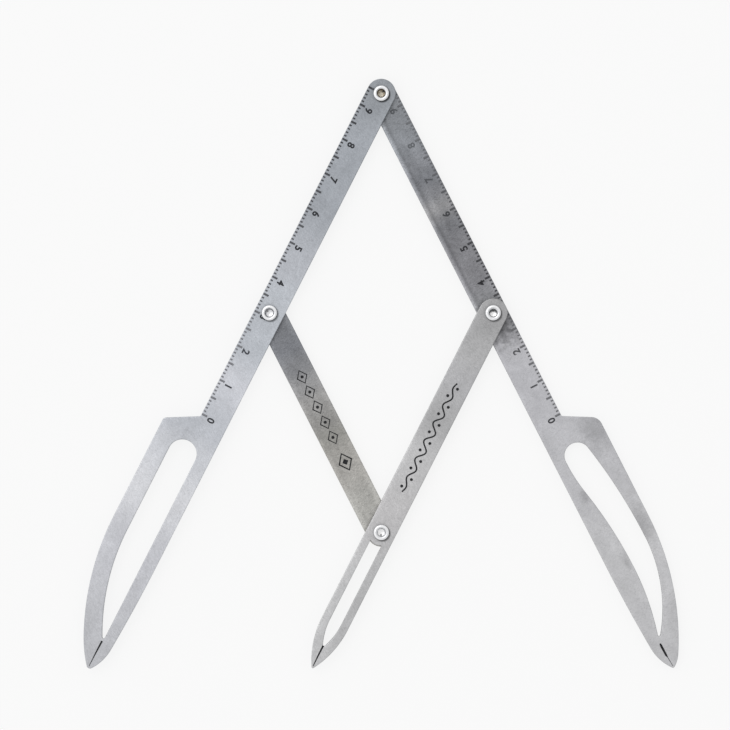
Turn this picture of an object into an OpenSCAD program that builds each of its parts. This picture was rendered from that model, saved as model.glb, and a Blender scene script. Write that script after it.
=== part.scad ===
// Golden ratio caliper: two long side legs and a short centre leg, cut from sheet steel and
// riveted into a parallelogram, so that the centre tip always divides the span between the
// side tips in the golden ratio.
// The caliper lies on its back: the hinges run along Z and the tips point towards -Y. The origin
// is the centre of the top rivet's rear head, on the surface that the caliper lies on.

/* [Linkage] */
// Distance from the top hinge to the tip of a side leg
leg_len = 167; // [150:1:190]
// Angle between a side leg and the middle line, at rest
half_angle = 27; // [6:0.5:84]
// Width of the bars
bar_w = 7.5; // [6.8:0.1:8]
// Thickness of the sheet that the bars are cut from
sheet_t = 1.2; // [0.8:0.1:2]

/* [Blades] */
// Distance from the tip back to the shoulder where a blade begins
blade_len = 71.3; // [70:0.1:80]
// Distance from the leg's middle line to the blade's outer edge
blade_out = 12.1; // [11.9:0.1:13]
// Angle between the shoulder and the leg
shoulder_slope = 61; // [55:1:75]
// Radius of the left shoulder's outer corner
left_shoulder_r = 1.2; // [0.5:0.1:4]
// Radius of the right shoulder's outer corner
right_shoulder_r = 3; // [0.5:0.1:4]
// Distance from the tip to where the outer edge starts to bend
outer_bend = 38; // [36:0.5:38]
// Radius of the outer edge's long curve
outer_r = 71; // [71:1:76]
// Radius of the curve that brings the left blade's outer edge to its tip
left_outer_tip_r = 34; // [20:1:36]
// Radius of the curve that brings the right blade's outer edge to its tip
right_outer_tip_r = 8; // [6:0.5:20]
// Distance from the tip to where the inner edge starts to bend
inner_bend = 31; // [28:0.5:34]
// Radius of the inner edge's long curve
inner_r = 400; // [300:10:500]
// Radius of the curve that brings the inner edge to the tip
inner_tip_r = 12; // [10:0.5:14]
// Radius of the left blade's blunted tip
left_tip_r = 0.9; // [0.6:0.1:1.1]
// Radius of the right blade's tip
right_tip_r = 0.5; // [0.4:0.1:0.9]

/* [Straight window of the left blade] */
// Distance from the tip to the window's round end
window_start = 64.2; // [60:0.1:66]
// Distance from the tip to the window's point
window_end = 8.6; // [8:0.1:10]
// Distance from the leg's middle line to the window's outer edge
window_out = 7.3; // [6.8:0.1:7.6]
// Distance from the leg's middle line to the window's inner edge, inwards
window_in = 0.2; // [0.1:0.1:0.6]
// Radius of the window's outer curve
window_r = 60; // [56:1:68]

/* [Curved window of the right blade] */
// Distance from the tip to the top of the window's outer curve
crown_at = 33.5; // [32:0.5:35]
// Height of the window's outer curve over the leg's middle line
crown_out = 8.8; // [8.4:0.1:9.2]
// Distance from the tip to the top of the window's inner curve
hump_at = 27.7; // [27:0.1:29]
// Height of the window's inner curve over the leg's middle line
hump_out = 2.65; // [2.5:0.05:2.9]
// Distance from the leg's middle line to the window's inner edge by its round end, inwards
curved_in = 0.65; // [0.4:0.05:0.8]

/* [Centre leg] */
// Radius of the curves that bring both edges to the tip
centre_tip_r = 25; // [22:0.5:30]
// Width of the centre leg's slot
slot_w = 3.2; // [2.6:0.1:3.6]
// Distance from the centre tip to the slot's point
slot_end = 6.4; // [6:0.1:8]
// Radius of the curves at the slot's point
slot_tip_r = 17.5; // [15:0.5:20]
// Radius of the land around the centre rivet, where the slot starts
slot_land_r = 3.45; // [3:0.05:3.7]

/* [Rivets and washers] */
// Diameter of a rivet's shank
shank_d = 2.5; // [2.2:0.1:2.8]
// Clearance between the shank and its holes, on the diameter
hole_play = 0.06; // [0.04:0.01:0.16]
// Diameter of the rear head
head_d = 5; // [4.6:0.1:6]
// Height of the rear head
head_t = 0.8; // [0.7:0.05:1.2]
// Radius of the rear head's rim
head_round = 0.5; // [0.2:0.05:0.6]
// Diameter of the hollow in the front end
hollow_d = 1.9; // [1.4:0.1:1.9]
// Outer diameter of the front end, which is rolled over the bar
roll_d = 4.2; // [3.9:0.1:4.6]
// Diameter of the washer between two bars
washer_d = 6; // [5:0.1:6.5]
// Thickness of the washer
washer_t = 0.2; // [0.1:0.05:0.4]

/* [Hidden] */

golden = (1 + sqrt(5)) / 2;
pivot_gap = leg_len / (golden * golden);
centre_len = leg_len - pivot_gap;

// Heights of the layers over the surface that the caliper lies on
rear_z = head_t;
washer_z = rear_z + sheet_t;
front_z = washer_z + washer_t;
roll_z = front_z + sheet_t;

// Places of the four hinges
top_pivot = [0, 0];
left_pivot = pivot_gap * [-sin(half_angle), -cos(half_angle)];
right_pivot = pivot_gap * [sin(half_angle), -cos(half_angle)];
centre_pivot = left_pivot + right_pivot;

half_w = bar_w / 2;
hole_r = (shank_d + hole_play) / 2;
window_inner_r = 200;
window_nose_r = 0.35;
window_point = 0.15;
crown_rise_r = 140;
crown_fall_r = 41;
hump_rise_r = 114;
hump_fall_r = 68;
hump_foot_r = 45;
curved_end_r = 3.4;
curved_nose_r = 0.35;
centre_nose_r = 0.35;
slot_nose_r = 0.25;
hollow_depth = 1.6;
hollow_point = 0.25;
far = 2 * leg_len;
past = 1;
// How far curves that run into each other overlap, so that no step is left where they join
seam = 0.0005;

$fn = 120;
long_arc_fn = 720;

front_steel = [0.72, 0.73, 0.76];
rear_steel = [0.55, 0.56, 0.58];
rivet_nickel = [0.90, 0.90, 0.91];
washer_steel = [0.45, 0.45, 0.46];

// Where two circles meet: the point to the left of the way from c1 to c2
function meet(c1, r1, c2, r2) =
    let (d = norm(c2 - c1), e = (c2 - c1) / d, a = (d * d + r1 * r1 - r2 * r2) / (2 * d))
    c1 + a * e + sqrt(r1 * r1 - a * a) * [-e.y, e.x];

// How far apart along x two centres lie that are dist apart and differ by rise in height
function run(dist, rise) = sqrt(dist * dist - rise * rise);

// Where a small circle about p touches, from inside, the rim of a large one about c; with a
// negative r, where it touches that rim from outside
function touch(p, r, c) = p + r * (p - c) / norm(p - c);

// Everything below an edge at height v that bends down from x = bend on, with radius r
module below_edge(bend, v, r) {
    translate([-far, v - 2 * r]) square([far + bend, 2 * r]);
    translate([bend, v - r]) circle(r = r, $fn = long_arc_fn);
}

// Cuts its children off along the line through t1 and t2, to the right of the way from t2 to
// t1, and rounds the cut end with a circle about p that touches the outline at t1 and t2
module rounded_end(p, r, t1, t2) {
    along = (t1 - t2) / norm(t1 - t2);
    right = [along.y, -along.x];
    difference() {
        children();
        polygon([t2 - far * along, t1 + far * along, t1 + far * (along + right),
                 t2 + far * (right - along)]);
    }
    translate(p) circle(r = r + seam);
}

// Leaf shape along +x: an upper edge at height top and a lower edge at height -bottom, which
// bend towards each other and end in a nose about [nose.x, nose.y]
module leaf(nose, nose_r, top, top_r, bottom, bottom_r) {
    top_bend = nose.x - run(top_r - nose_r, nose.y - top + top_r);
    bottom_bend = nose.x - run(bottom_r - nose_r, bottom_r - bottom - nose.y);
    rounded_end(nose, nose_r, touch(nose, nose_r, [top_bend, top - top_r]),
                touch(nose, nose_r, [bottom_bend, bottom_r - bottom]))
        intersection() {
            below_edge(top_bend, top, top_r);
            mirror([0, 1]) below_edge(bottom_bend, bottom, bottom_r);
        }
}

// The middle of the short curve, with radius short_r, by which an edge at height v, which bends
// down from x = bend on with radius r, comes to a nose about p
function short_middle(bend, v, r, short_r, p, nose_r) =
    meet([bend, v - r], r - short_r, p, short_r - nose_r);

// Everything below an edge at height v that bends down from x = bend on, first with radius r and
// then about c with radius short_r
module below_two_curves(bend, v, r, c, short_r) {
    long_c = [bend, v - r];
    out = far * (c - long_c) / norm(c - long_c);
    right = [out.y, -out.x];
    difference() {
        below_edge(bend, v, r);
        polygon([c, c + out, c + out + right, c + right]);
    }
    translate(c) circle(r = short_r + seam, $fn = long_arc_fn);
}

// Blade shape along +x: the outer edge up, both edges brought to the tip in two curves each
module blade_shape(outer_tip_r, tip_r) {
    nose = [leg_len - tip_r, 0];
    outer_x = leg_len - outer_bend;
    inner_x = leg_len - inner_bend;
    outer_c = short_middle(outer_x, blade_out, outer_r, outer_tip_r, nose, tip_r);
    inner_c = short_middle(inner_x, half_w, inner_r, inner_tip_r, nose, tip_r);
    rounded_end(nose, tip_r, touch(nose, tip_r, outer_c), touch(nose, tip_r, [inner_c.x, -inner_c.y]))
        intersection() {
            below_two_curves(outer_x, blade_out, outer_r, outer_c, outer_tip_r);
            mirror([0, 1]) below_two_curves(inner_x, half_w, inner_r, inner_c, inner_tip_r);
        }
}

// Plain bar along +x with a round end about the first hinge
module bar_blank(len) {
    circle(r = half_w);
    translate([0, -half_w]) square([len, bar_w]);
}

// Side leg along +x, with the blade's outer side up and no window yet
module side_leg_blank(shoulder_r, outer_tip_r, tip_r) {
    shoulder = leg_len - blade_len;
    corner_y = blade_out - shoulder_r;
    corner_x = shoulder + (shoulder_r + (corner_y - half_w) * cos(shoulder_slope)) / sin(shoulder_slope);
    slope_end = [corner_x, corner_y] - shoulder_r * [sin(shoulder_slope), -cos(shoulder_slope)];
    bar_blank(shoulder);
    intersection() {
        blade_shape(outer_tip_r, tip_r);
        union() {
            polygon([[shoulder, -half_w], [shoulder, half_w], slope_end, [corner_x, blade_out],
                     [far, blade_out], [far, -half_w]]);
            translate([corner_x, corner_y]) circle(r = shoulder_r);
        }
    }
}

// Window with a straight inner edge and a round end
module straight_window() {
    end_r = (window_out + window_in) / 2;
    start = [leg_len - window_start + end_r, (window_out - window_in) / 2];
    rounded_end(start, end_r, start - [0, end_r], start + [0, end_r])
        leaf([leg_len - window_end - window_nose_r, window_point], window_nose_r,
             window_out, window_r, window_in, window_inner_r);
}

// The part of a circle about c that lies on one side of it: side is -1 for left, 1 for right
module half_disc(c, r, side) {
    intersection() {
        translate(c) circle(r = r, $fn = long_arc_fn);
        translate([c.x + (side - 1) * r, c.y - r]) square(2 * r);
    }
}

// Window that curves like a sabre between an outer crown and an inner hump
module curved_window() {
    crown_x = leg_len - crown_at;
    hump_x = leg_len - hump_at;
    rise = [crown_x, crown_out - crown_rise_r];
    fall = [crown_x, crown_out - crown_fall_r];
    hump_rise = [hump_x, hump_out - hump_rise_r];
    hump_fall = [hump_x, hump_out - hump_fall_r];
    start_y = curved_end_r - curved_in;
    start = [crown_x - run(crown_rise_r - curved_end_r, start_y - rise.y), start_y];
    nose = meet(fall, crown_fall_r - curved_nose_r, hump_fall, hump_fall_r + curved_nose_r);
    foot_y = hump_foot_r - curved_in;
    foot = [hump_x - run(hump_rise_r + hump_foot_r, foot_y - hump_rise.y), foot_y];
    foot_end = touch(foot, -hump_foot_r, hump_rise);
    rounded_end(nose, curved_nose_r, touch(nose, curved_nose_r, fall),
                touch(nose, -curved_nose_r, hump_fall))
        rounded_end(start, curved_end_r, [start.x, -curved_in], touch(start, curved_end_r, rise))
            difference() {
                intersection() {
                    union() {
                        half_disc(rise, crown_rise_r, -1);
                        half_disc(fall, crown_fall_r, 1);
                    }
                    translate([0, -curved_in]) square(far);
                }
                half_disc(hump_rise, hump_rise_r, -1);
                half_disc(hump_fall, hump_fall_r, 1);
                difference() {
                    polygon([[foot.x, -curved_in], foot_end, [foot_end.x, -half_w], [foot.x, -half_w]]);
                    translate(foot) circle(r = hump_foot_r + seam, $fn = long_arc_fn);
                }
            }
}

// Slot of the centre leg, from the land around the rivet to a point near the tip
module centre_slot() {
    difference() {
        intersection() {
            leaf([centre_len - slot_end - slot_nose_r, 0], slot_nose_r,
                 slot_w / 2, slot_tip_r, slot_w / 2, slot_tip_r);
            translate([pivot_gap, -half_w]) square([centre_len, bar_w]);
        }
        translate([pivot_gap, 0]) circle(r = slot_land_r);
    }
}

// Turns an outline along +x into sheet and drills the two hinge holes
module sheet_bar() {
    difference() {
        linear_extrude(sheet_t) children();
        for (x = [0, pivot_gap])
            translate([x, 0, -past]) cylinder(r = hole_r, h = sheet_t + 2 * past);
    }
}

// Turns a bar along +x to run down to the left, its +y side outwards
module run_left() { rotate([0, 0, -90 - half_angle]) mirror([0, 1, 0]) children(); }

// Turns a bar along +x to run down to the right, its +y side outwards
module run_right() { rotate([0, 0, -90 + half_angle]) children(); }

// Puts its children at a hinge, at height z
module at_pivot(p, z = 0) { translate([p.x, p.y, z]) children(); }

module left_leg() {
    color(front_steel) at_pivot(top_pivot, front_z) run_left() sheet_bar() difference() {
        side_leg_blank(left_shoulder_r, left_outer_tip_r, left_tip_r);
        straight_window();
    }
}

module right_leg() {
    color(rear_steel) at_pivot(top_pivot, rear_z) run_right() sheet_bar() difference() {
        side_leg_blank(right_shoulder_r, right_outer_tip_r, right_tip_r);
        curved_window();
    }
}

module centre_leg() {
    color(front_steel) at_pivot(right_pivot, front_z) run_left() sheet_bar() difference() {
        union() {
            bar_blank(pivot_gap);
            intersection() {
                leaf([centre_len - centre_nose_r, 0], centre_nose_r,
                     half_w, centre_tip_r, half_w, centre_tip_r);
                translate([pivot_gap, -half_w]) square([centre_len, bar_w]);
            }
        }
        centre_slot();
    }
}

module left_link() {
    color(rear_steel) at_pivot(left_pivot, rear_z) run_right() sheet_bar() union() {
        bar_blank(pivot_gap);
        translate([pivot_gap, 0]) circle(r = half_w);
    }
}

// Semi-tubular rivet: a flat rear head, a shank, and a hollow front end rolled over the bar
module rivet() {
    roll_r = (roll_d - hollow_d) / 4;
    color(rivet_nickel) rotate_extrude() difference() {
        union() {
            square([head_d / 2 - head_round, head_t]);
            translate([0, head_round]) square([head_d / 2, head_t - head_round]);
            intersection() {
                translate([head_d / 2 - head_round, head_round]) circle(r = head_round);
                square([head_d / 2, head_t]);
            }
            square([shank_d / 2, roll_z]);
            intersection() {
                translate([hollow_d / 2 + roll_r, roll_z]) circle(r = roll_r);
                translate([0, roll_z]) square([roll_d, roll_r]);
            }
        }
        translate([0, roll_z - hollow_depth]) square([hollow_d / 2, hollow_depth + roll_d]);
        polygon([[0, roll_z - hollow_depth - hollow_point], [hollow_d / 2, roll_z - hollow_depth],
                 [0, roll_z - hollow_depth]]);
    }
}

module top_rivet() { at_pivot(top_pivot) rivet(); }
module left_rivet() { at_pivot(left_pivot) rivet(); }
module right_rivet() { at_pivot(right_pivot) rivet(); }
module centre_rivet() { at_pivot(centre_pivot) rivet(); }

// Thin washer that keeps two bars apart and gives the hinge its drag
module washer() {
    color(washer_steel) difference() {
        cylinder(d = washer_d, h = washer_t);
        translate([0, 0, -past]) cylinder(r = hole_r, h = washer_t + 2 * past);
    }
}

module top_washer() { at_pivot(top_pivot, washer_z) washer(); }
module left_washer() { at_pivot(left_pivot, washer_z) washer(); }
module right_washer() { at_pivot(right_pivot, washer_z) washer(); }
module centre_washer() { at_pivot(centre_pivot, washer_z) washer(); }

left_leg();
right_leg();
centre_leg();
left_link();
top_rivet();
left_rivet();
right_rivet();
centre_rivet();
top_washer();
left_washer();
right_washer();
centre_washer();
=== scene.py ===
# Golden ratio caliper: tumbled steel bars, bright rolled rivets and black etched scales.
# Shapes are drawn in millimetres, in each bar's own frame: x runs from its first hinge
# towards its tip, y towards the outside of the tool. They go to metres when they are placed.
import bpy
import bmesh
import math
from mathutils import Matrix, Vector


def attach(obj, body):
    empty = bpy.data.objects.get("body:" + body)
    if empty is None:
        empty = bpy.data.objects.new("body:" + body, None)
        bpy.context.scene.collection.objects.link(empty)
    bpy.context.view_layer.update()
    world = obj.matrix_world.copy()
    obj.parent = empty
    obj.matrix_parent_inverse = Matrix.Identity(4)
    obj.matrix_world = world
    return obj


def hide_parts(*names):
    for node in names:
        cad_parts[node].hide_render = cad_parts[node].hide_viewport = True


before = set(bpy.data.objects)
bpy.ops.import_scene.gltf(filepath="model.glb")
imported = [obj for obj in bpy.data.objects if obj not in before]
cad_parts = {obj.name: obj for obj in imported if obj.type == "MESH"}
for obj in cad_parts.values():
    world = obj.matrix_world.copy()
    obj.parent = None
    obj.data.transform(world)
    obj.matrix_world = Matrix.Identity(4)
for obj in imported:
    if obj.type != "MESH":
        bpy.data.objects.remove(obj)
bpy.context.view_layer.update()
print("frame loaded")

mm = 0.001
linkage = {
    "legLength": 167.0,     # hinge to tip of a side leg
    "halfAngle": 27.0,      # degrees between a side leg and the middle line
    "barWidth": 7.5,
    "sheet": 1.2,           # thickness of the bars
    "rearLayer": 0.8,       # height of the rear bars' underside
    "frontLayer": 2.2,      # height of the front bars' underside
    "holeRadius": 1.28,
    "edgeRadius": 0.2,      # tumbled edges
}
drawing = {
    "widestStep": 0.16,     # radians between two points of an arc, at most
    "flatness": 0.002,      # mm between an arc and its chords, about
    "edgeSteps": 3,         # how finely a tumbled edge is rounded
    "mergeGap": 0.0005,     # mm: points nearer than this become one
    "sliver": 0.0001,       # mm: edges shorter than this go
    "flatNormal": 0.995,    # faces that look this straight up or down are flat
}
golden = (1 + math.sqrt(5)) / 2
legLength = linkage["legLength"]
hingeGap = legLength / golden ** 2
halfWidth = linkage["barWidth"] / 2
rearTop = linkage["rearLayer"] + linkage["sheet"]
frontTop = linkage["frontLayer"] + linkage["sheet"]
sine = math.sin(math.radians(linkage["halfAngle"]))
cosine = math.cos(math.radians(linkage["halfAngle"]))


def at(x, y):
    return Vector((x, y))


topHinge = at(0, 0)
leftHinge = at(-hingeGap * sine, -hingeGap * cosine)
rightHinge = at(hingeGap * sine, -hingeGap * cosine)
centreHinge = leftHinge + rightHinge


def placing(hinge, xAxis, yAxis):
    # from a bar's own frame in mm to the frame of the whole tool in metres
    return Matrix((
        (xAxis[0] * mm, yAxis[0] * mm, 0, hinge.x * mm),
        (xAxis[1] * mm, yAxis[1] * mm, 0, hinge.y * mm),
        (0, 0, mm, 0),
        (0, 0, 0, 1)))


downLeft, downRight = (-sine, -cosine), (sine, -cosine)
outLeft, outRight = (-cosine, sine), (cosine, sine)
places = {
    "left_leg": placing(topHinge, downLeft, outLeft),
    "right_leg": placing(topHinge, downRight, outRight),
    "centre_leg": placing(rightHinge, downLeft, outLeft),
    "left_link": placing(leftHinge, downRight, outRight),
}


def run(dist, rise):
    # how far a slanting line of length dist goes along while it rises by rise
    return math.sqrt(dist * dist - rise * rise)


def touch(point, radius, centre):
    # where a small circle about point touches the rim of a large one about centre
    return point + radius * (point - centre).normalized()


def meet(centreA, radiusA, centreB, radiusB):
    # where two circles meet, to the left of the line from the first centre to the second
    gap = (centreB - centreA).length
    along = (centreB - centreA) / gap
    foot = (gap * gap + radiusA * radiusA - radiusB * radiusB) / (2 * gap)
    return centreA + foot * along + run(radiusA, foot) * at(-along.y, along.x)


def arc(centre, start, end, clockwise=False):
    # points along a circle, without the start and with the end
    first = math.atan2(start.y - centre.y, start.x - centre.x)
    last = math.atan2(end.y - centre.y, end.x - centre.x)
    sweep = (last - first) % (2 * math.pi)
    if clockwise:
        sweep -= 2 * math.pi
    radius = (start - centre).length
    step = min(drawing["widestStep"], 2 * math.acos(max(0.0, 1 - drawing["flatness"] / radius)))
    count = max(2, math.ceil(abs(sweep) / step))
    turn = [first + sweep * k / count for k in range(1, count)]
    return [centre + radius * at(math.cos(t), math.sin(t)) for t in turn] + [end]


def follow(path, *arcs):
    # adds arcs to a path, each from where the last ended: centre, end, and True if clockwise
    for centre, end, *clockwise in arcs:
        path += arc(centre, path[-1], end, *clockwise)
    return path


def closed(path, centre, clockwise=False):
    return path + arc(centre, path[-1], path[0], clockwise)[:-1]


def hole(x):
    start = at(x + linkage["holeRadius"], 0)
    half = at(x - linkage["holeRadius"], 0)
    centre = at(x, 0)
    return arc(centre, start, half) + arc(centre, half, start)


sideBlades = {
    "length": 71.3,         # tip back to the shoulder
    "outside": 12.1,        # middle line to the outer edge
    "shoulderSlope": 61.0,
    "outerBend": 38.0, "outerCurve": 71.0,  # where each edge starts to bend, and its long curve
    "innerBend": 31.0, "innerCurve": 400.0,
}
bladeTips = {
    "left_leg": {"shoulder": 1.2, "outerCurve": 34.0, "innerCurve": 12.0, "tip": 0.9},
    "right_leg": {"shoulder": 3.0, "outerCurve": 8.0, "innerCurve": 12.0, "tip": 0.5},
}


def bladeEdge(bend, height, curve, tipCurve, tip, tipRadius):
    # an edge that bends down in a long curve and then in a short one to the tip
    longCentre = at(legLength - bend, height - curve)
    shortCentre = meet(longCentre, curve - tipCurve, tip, tipCurve - tipRadius)
    join = longCentre + curve * (shortCentre - longCentre).normalized()
    return longCentre, join, shortCentre, touch(tip, tipRadius, shortCentre)


def sideLegOutline(name):
    b, own = sideBlades, bladeTips[name]
    tip = at(legLength - own["tip"], 0)
    inner = [at(p.x, -p.y) for p in bladeEdge(
        b["innerBend"], halfWidth, b["innerCurve"], own["innerCurve"], tip, own["tip"])]
    outer = bladeEdge(
        b["outerBend"], b["outside"], b["outerCurve"], own["outerCurve"], tip, own["tip"])
    shoulder = legLength - b["length"]
    slope = math.radians(b["shoulderSlope"])
    radius = own["shoulder"]
    rise = b["outside"] - radius - halfWidth
    corner = at(shoulder + (radius + rise * math.cos(slope)) / math.sin(slope),
                b["outside"] - radius)
    slopeEnd = corner - radius * at(math.sin(slope), -math.cos(slope))
    path = follow([at(0, -halfWidth), at(inner[0].x, -halfWidth)],
                  (inner[0], inner[1]), (inner[2], inner[3]), (tip, outer[3]),
                  (outer[2], outer[1]), (outer[0], at(outer[0].x, b["outside"])))
    path = follow(path + [at(corner.x, b["outside"])], (corner, slopeEnd))
    return closed(path + [at(shoulder, halfWidth), at(0, halfWidth)], at(0, 0))


straightWindow = {
    "start": 64.2, "end": 8.6,      # from the tip
    "outside": 7.3, "inside": 0.2,  # from the middle line
    "outerCurve": 60.0, "innerCurve": 200.0, "noseRadius": 0.35, "noseRise": 0.15,
}


def straightWindowOutline():
    w = straightWindow
    endRadius = (w["outside"] + w["inside"]) / 2
    start = at(legLength - w["start"] + endRadius, (w["outside"] - w["inside"]) / 2)
    nose = at(legLength - w["end"] - w["noseRadius"], w["noseRise"])
    outerY, innerY = w["outside"] - w["outerCurve"], w["innerCurve"] - w["inside"]
    outer = at(nose.x - run(w["outerCurve"] - w["noseRadius"], nose.y - outerY), outerY)
    inner = at(nose.x - run(w["innerCurve"] - w["noseRadius"], innerY - nose.y), innerY)
    path = follow([start - at(0, endRadius), at(inner.x, -w["inside"])],
                  (inner, touch(nose, w["noseRadius"], inner)),
                  (nose, touch(nose, w["noseRadius"], outer)),
                  (outer, at(outer.x, w["outside"])))
    return closed(path + [start + at(0, endRadius)], start)


curvedWindow = {
    "crownAt": 33.5, "crownOut": 8.8, "crownRise": 140.0, "crownFall": 41.0,
    "humpAt": 27.7, "humpOut": 2.65, "humpRise": 114.0, "humpFall": 68.0, "humpFoot": 45.0,
    "inside": 0.65, "startRadius": 3.4, "noseRadius": 0.35,
}


def curvedWindowOutline():
    w = curvedWindow
    crownX, humpX = legLength - w["crownAt"], legLength - w["humpAt"]
    rise, fall = (at(crownX, w["crownOut"] - w[r]) for r in ("crownRise", "crownFall"))
    humpRise, humpFall = (at(humpX, w["humpOut"] - w[r]) for r in ("humpRise", "humpFall"))
    startY = w["startRadius"] - w["inside"]
    start = at(crownX - run(w["crownRise"] - w["startRadius"], startY - rise.y), startY)
    nose = meet(fall, w["crownFall"] - w["noseRadius"], humpFall, w["humpFall"] + w["noseRadius"])
    footY = w["humpFoot"] - w["inside"]
    foot = at(humpX - run(w["humpRise"] + w["humpFoot"], footY - humpRise.y), footY)
    path = follow([at(start.x, -w["inside"]), at(foot.x, -w["inside"])],
                  (foot, touch(foot, -w["humpFoot"], humpRise)),
                  (humpRise, at(humpX, w["humpOut"]), True),
                  (humpFall, touch(nose, -w["noseRadius"], humpFall), True),
                  (nose, touch(nose, w["noseRadius"], fall)),
                  (fall, at(crownX, w["crownOut"])),
                  (rise, touch(start, w["startRadius"], rise)))
    return closed(path, start)


centrePoint = {
    "tipCurve": 25.0, "tipRadius": 0.35,
    "slotWidth": 3.2, "slotEnd": 6.4, "slotCurve": 17.5, "slotNose": 0.25, "landRadius": 3.45,
}


def leafEnd(noseX, noseRadius, half, curve):
    # two equal curves that meet in a small nose on the middle line
    nose = at(noseX, 0)
    bend = noseX - run(curve - noseRadius, curve - half)
    lower, upper = at(bend, curve - half), at(bend, half - curve)
    return follow([at(bend, -half)], (lower, touch(nose, noseRadius, lower)),
                  (nose, touch(nose, noseRadius, upper)), (upper, at(bend, half)))


def centreLegOutline():
    c = centrePoint
    length = legLength - hingeGap
    path = [at(0, -halfWidth)]
    path += leafEnd(length - c["tipRadius"], c["tipRadius"], halfWidth, c["tipCurve"])
    return closed(path + [at(0, halfWidth)], at(0, 0))


def centreSlotOutline():
    c = centrePoint
    length, half = legLength - hingeGap, c["slotWidth"] / 2
    landX = hingeGap + run(c["landRadius"], half)
    path = [at(landX, -half)]
    path += leafEnd(length - c["slotEnd"] - c["slotNose"], c["slotNose"], half, c["slotCurve"])
    return closed(path + [at(landX, half)], at(hingeGap, 0), True)


def linkOutline():
    path = follow([at(0, -halfWidth), at(hingeGap, -halfWidth)],
                  (at(hingeGap, 0), at(hingeGap, halfWidth)))
    return closed(path + [at(0, halfWidth)], at(0, 0))


def addObject(name, data):
    made = bpy.data.objects.new(name, data)
    bpy.context.scene.collection.objects.link(made)
    return made


def addPiece(name, mesh, body, material):
    piece = addObject(name, mesh)
    mesh.materials.clear()
    mesh.materials.append(material)
    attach(piece, body)
    return piece


def closedMesh(bm, mesh):
    # writes a closed shape to a mesh, with its faces outwards
    bmesh.ops.recalc_face_normals(bm, faces=bm.faces)
    bm.to_mesh(mesh)
    bm.free()
    return mesh


def settled(maker, matrix):
    # the evaluated mesh of an object, merged and placed; the object itself goes
    depsgraph = bpy.context.evaluated_depsgraph_get()
    depsgraph.update()
    mesh = bpy.data.meshes.new_from_object(maker.evaluated_get(depsgraph))
    maker.modifiers.clear()
    bpy.data.objects.remove(maker)
    bm = bmesh.new()
    bm.from_mesh(mesh)
    bmesh.ops.remove_doubles(bm, verts=bm.verts, dist=drawing["mergeGap"])
    bmesh.ops.dissolve_degenerate(bm, edges=bm.edges, dist=drawing["sliver"])
    bm.transform(matrix)
    return closedMesh(bm, mesh)


def cutSheet(name, outlines, matrix, top):
    edge = linkage["edgeRadius"]
    curve = bpy.data.curves.new(name, "CURVE")
    curve.dimensions = "2D"
    curve.fill_mode = "BOTH"
    curve.extrude = linkage["sheet"] / 2 - edge
    curve.bevel_depth = edge
    curve.bevel_resolution = drawing["edgeSteps"]
    curve.offset = -edge
    for outline in outlines:
        spline = curve.splines.new("POLY")
        spline.points.add(len(outline) - 1)
        for point, place in zip(spline.points, outline):
            point.co = (place.x, place.y, 0, 1)
        spline.use_cyclic_u = True
    lift = Matrix.Translation((0, 0, top - linkage["sheet"] / 2))
    mesh = settled(addObject(name, curve), matrix @ lift)
    for polygon in mesh.polygons:
        polygon.use_smooth = abs(polygon.normal.z) < drawing["flatNormal"]
    return mesh


bars = {    # layer, outline and windows of each bar
    "left_leg": ("front", sideLegOutline("left_leg"), [straightWindowOutline()]),
    "right_leg": ("rear", sideLegOutline("right_leg"), [curvedWindowOutline()]),
    "centre_leg": ("front", centreLegOutline(), [centreSlotOutline()]),
    "left_link": ("rear", linkOutline(), []),
}
topOf = {name: frontTop if bar[0] == "front" else rearTop for name, bar in bars.items()}


def node(tree, kind, feeds=None, **settings):
    # a new node: settings are its own switches, feeds its inputs by name or number
    made = tree.nodes.new(kind)
    for key, value in settings.items():
        setattr(made, key, value)
    for socket, value in (feeds or {}).items():
        if isinstance(value, bpy.types.NodeSocket):
            tree.links.new(value, made.inputs[socket])
        else:
            made.inputs[socket].default_value = value
    return made


def calc(tree, operation, a, b=0.0):
    return node(tree, "ShaderNodeMath", {0: a, 1: b}, operation=operation).outputs[0]


def times(tree, a, b):
    return calc(tree, "MULTIPLY", a, b)


def vectorCalc(tree, operation, a, b=(0, 0, 0)):
    made = node(tree, "ShaderNodeVectorMath", {0: a, 1: b}, operation=operation)
    return made.outputs["Value" if operation in ("LENGTH", "DOT_PRODUCT") else "Vector"]


def xyz(tree, x=0.0, y=0.0, z=0.0):
    return node(tree, "ShaderNodeCombineXYZ", {0: x, 1: y, 2: z}).outputs[0]


def spread(tree, value, low, high, first=0.0, last=1.0, soft=False):
    # first where the value is low, last where it is high, and steadily or softly from one to
    # the other in between
    return node(tree, "ShaderNodeMapRange", {
        "Value": value, "From Min": low, "From Max": high, "To Min": first, "To Max": last},
        interpolation_type="SMOOTHSTEP" if soft else "LINEAR").outputs["Result"]


def blend(tree, share, first, second, how="MIX"):
    return node(tree, "ShaderNodeMix", {"Factor": share, 6: first, 7: second},
                data_type="RGBA", blend_type=how).outputs[2]


def tone(red, green=None, blue=None):
    # a colour as it looks on screen, 0 to 255, as the linear value that the shaders take
    values = [red, red if green is None else green, red if blue is None else blue]
    return [((v / 255 + 0.055) / 1.055) ** 2.4 for v in values] + [1.0]


def newMaterial(name):
    material = bpy.data.materials.new(name)
    material.use_nodes = True
    material.node_tree.nodes.clear()
    return material, material.node_tree


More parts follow.
